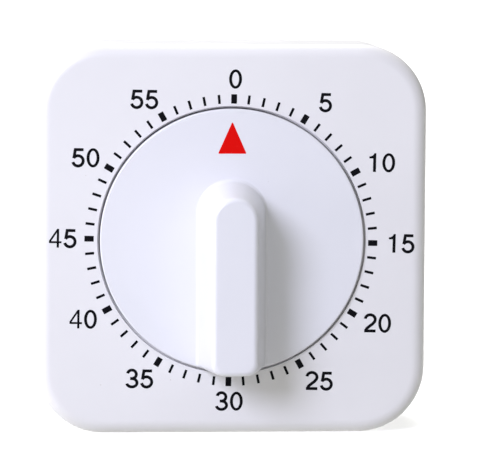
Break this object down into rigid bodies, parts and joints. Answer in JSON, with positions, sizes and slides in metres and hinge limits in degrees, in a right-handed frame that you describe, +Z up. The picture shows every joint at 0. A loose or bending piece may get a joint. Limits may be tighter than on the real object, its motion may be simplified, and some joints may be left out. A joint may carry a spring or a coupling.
{
  "type": "kitchen timer",
  "caption": "Square white clockwork kitchen timer with a round dial, a half-bar grip, a red triangle and a 60-minute scale.",
  "frame": {"origin": "centre of the bounding box's bottom face: the case stands on its flat bottom edge", "axes": "+Z up, the dial faces -Y and turns about an axis along Y, +X to the right seen from the front"},
  "size_m": [0.076, 0.044, 0.076],
  "materials": {
    "case_white": "satin white moulding",
    "dial_white": "satin white moulding",
    "plated_steel": "zinc-plated sheet steel",
    "screw_steel": "bright zinc-plated screws",
    "arbor_steel": "turned steel",
    "brass": "stamped brass",
    "spring_steel": "blued spring steel",
    "bell_steel": "nickel-plated bell",
    "ferrite": "bare ferrite ceramic"
  },
  "bodies": {
    "case": {"front_housing": "case_white", "rear_cover": "case_white", "case_screw_1": "screw_steel", "case_screw_2": "screw_steel", "case_screw_3": "screw_steel", "case_screw_4": "screw_steel", "magnet_upper": "ferrite", "magnet_lower": "ferrite", "front_plate": "plated_steel", "back_plate": "plated_steel", "pillar_1": "plated_steel", "pillar_2": "plated_steel", "pillar_3": "plated_steel", "pillar_4": "plated_steel", "pillar_nut_1": "plated_steel", "pillar_nut_2": "plated_steel", "pillar_nut_3": "plated_steel", "pillar_nut_4": "plated_steel", "spring_post": "plated_steel", "movement_screw_1": "screw_steel", "movement_screw_2": "screw_steel", "movement_screw_3": "screw_steel", "mainspring": "spring_steel", "bell": "bell_steel", "bell_post": "plated_steel", "bell_nut": "plated_steel", "hammer_spring": "spring_steel", "lever_spring": "spring_steel"},
    "dial": {"dial_knob": "dial_white", "main_arbor": "arbor_steel", "ratchet_wheel": "plated_steel", "main_wheel": "brass", "click_pin": "arbor_steel", "click_spring": "spring_steel", "alarm_cam": "brass"},
    "click": {"click": "plated_steel"},
    "second_shaft": {"second_arbor": "arbor_steel", "second_wheel": "brass", "strike_wheel": "plated_steel"},
    "third_shaft": {"third_arbor": "arbor_steel", "third_wheel": "brass"},
    "escape_shaft": {"escape_arbor": "arbor_steel", "escape_wheel": "brass"},
    "balance": {"pallet_arbor": "arbor_steel", "pallet_anchor": "plated_steel", "balance_weight": "brass"},
    "alarm_release": {"lever_arbor": "arbor_steel", "alarm_lever": "plated_steel"},
    "hammer": {"hammer_arbor": "arbor_steel", "hammer_pallet": "plated_steel", "hammer_arm": "plated_steel", "hammer_head": "brass"}
  },
  "joints": [
    {"name": "dial_turn", "type": "hinge", "parent": "case", "child": "dial", "pos_m": [0, 0, 0.038], "axis": [0, 1, 0], "range_deg": [0, 354], "deforming": ["mainspring"]},
    {"name": "click_lift", "type": "hinge", "parent": "dial", "child": "click", "pos_m": [-0.00334, 0, 0.04523], "axis": [0, -1, 0], "range_deg": [0, 12], "deforming": ["click_spring"]},
    {"name": "second_spin", "type": "hinge", "parent": "case", "child": "second_shaft", "pos_m": [-0.01237, 0, 0.02563], "axis": [0, 1, 0], "continuous": true},
    {"name": "third_spin", "type": "hinge", "parent": "case", "child": "third_shaft", "pos_m": [-0.0032, 0, 0.0192], "axis": [0, 1, 0], "continuous": true},
    {"name": "escape_spin", "type": "hinge", "parent": "case", "child": "escape_shaft", "pos_m": [0.00651, 0, 0.01784], "axis": [0, 1, 0], "continuous": true},
    {"name": "balance_swing", "type": "hinge", "parent": "case", "child": "balance", "pos_m": [0.01492, 0, 0.01963], "axis": [0, -1, 0], "range_deg": [-6, 6]},
    {"name": "alarm_release", "type": "hinge", "parent": "case", "child": "alarm_release", "pos_m": [-0.0195, 0, 0.0445], "axis": [0, -1, 0], "range_deg": [-5, 0], "deforming": ["lever_spring"]},
    {"name": "hammer_strike", "type": "hinge", "parent": "case", "child": "hammer", "pos_m": [-0.0233, 0, 0.0295], "axis": [0, -1, 0], "range_deg": [0, 10], "deforming": ["hammer_spring"]}
  ],
  "couplings": [
    {"joint": "second_spin", "follows": "dial_turn", "ratio": -6},
    {"joint": "third_spin", "follows": "dial_turn", "ratio": 36},
    {"joint": "escape_spin", "follows": "dial_turn", "ratio": -216}
  ]
}
